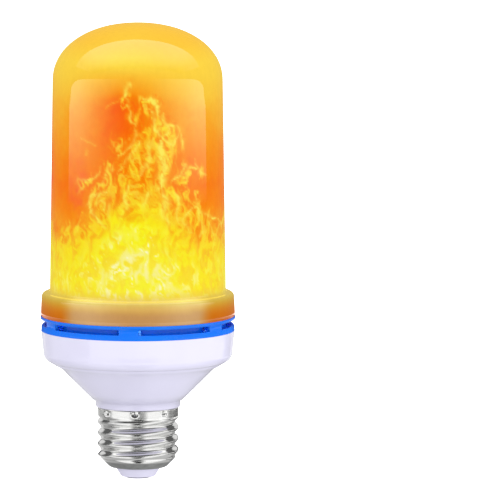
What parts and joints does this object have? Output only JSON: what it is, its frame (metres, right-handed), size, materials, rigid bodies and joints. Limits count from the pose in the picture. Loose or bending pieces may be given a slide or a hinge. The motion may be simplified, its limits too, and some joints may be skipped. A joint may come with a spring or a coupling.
{
  "type": "flame effect led bulb",
  "caption": "Retrofit lamp with a tall domed diffuser over an LED column that flickers like a flame, a slotted vent ring, a flared driver housing and a 27 mm Edison screw cap.",
  "frame": {"origin": "foot of the centre contact, on the lamp's axis", "axes": "+Z along the lamp's axis from the cap to the dome; -Y is the side that the picture shows"},
  "size_m": [0.0628, 0.0628, 0.1471],
  "materials": {
    "contact_metal": "pressed and dull",
    "insulator_plastic": "satin moulded",
    "shell_nickel": "nickel plated",
    "housing_plastic": "satin moulded",
    "vent_plastic": "glossy moulded",
    "diffuser_plastic": "milky, lit from inside",
    "former_plastic": "moulded",
    "flex_film": "white coated film",
    "led_phosphor": "yellow phosphor in a white package",
    "board_laminate": "green coated laminate",
    "chip_epoxy": "black epoxy",
    "can_metal": "drawn can",
    "socket_nylon": "moulded nylon",
    "capacitor_sleeve": "shrunk sleeve",
    "choke_copper": "enamelled copper winding",
    "resistor_lacquer": "lacquered",
    "lead_red": "soft insulation",
    "lead_black": "soft insulation",
    "screw_steel": "zinc plated"
  },
  "bodies": {
    "root": {"centre_contact": "contact_metal", "base_insulator": "insulator_plastic", "screw_shell": "shell_nickel", "lamp_housing": "housing_plastic", "vent_ring": "vent_plastic", "diffuser_cover": "diffuser_plastic", "led_former": "former_plastic", "flex_board": "flex_film", "control_board": "board_laminate", "flame_controller": "chip_epoxy", "tilt_switch": "can_metal", "board_socket": "socket_nylon", "lead_plug": "socket_nylon", "red_lead": "lead_red", "black_lead": "lead_black", "driver_board": "board_laminate", "input_capacitor": "capacitor_sleeve", "output_capacitor": "capacitor_sleeve", "choke_coil": "choke_copper", "bridge_rectifier": "chip_epoxy", "driver_chip": "chip_epoxy", "flyback_diode": "chip_epoxy", "fusible_resistor": "resistor_lacquer", "contact_lead": "lead_red", "shell_lead": "lead_black", "core_screws": "screw_steel", "led_row_1": "led_phosphor", "led_row_2": "led_phosphor", "led_row_3": "led_phosphor", "led_row_4": "led_phosphor", "led_row_5": "led_phosphor", "led_row_6": "led_phosphor", "led_row_7": "led_phosphor", "led_row_8": "led_phosphor", "led_row_9": "led_phosphor"}
  },
  "joints": []
}
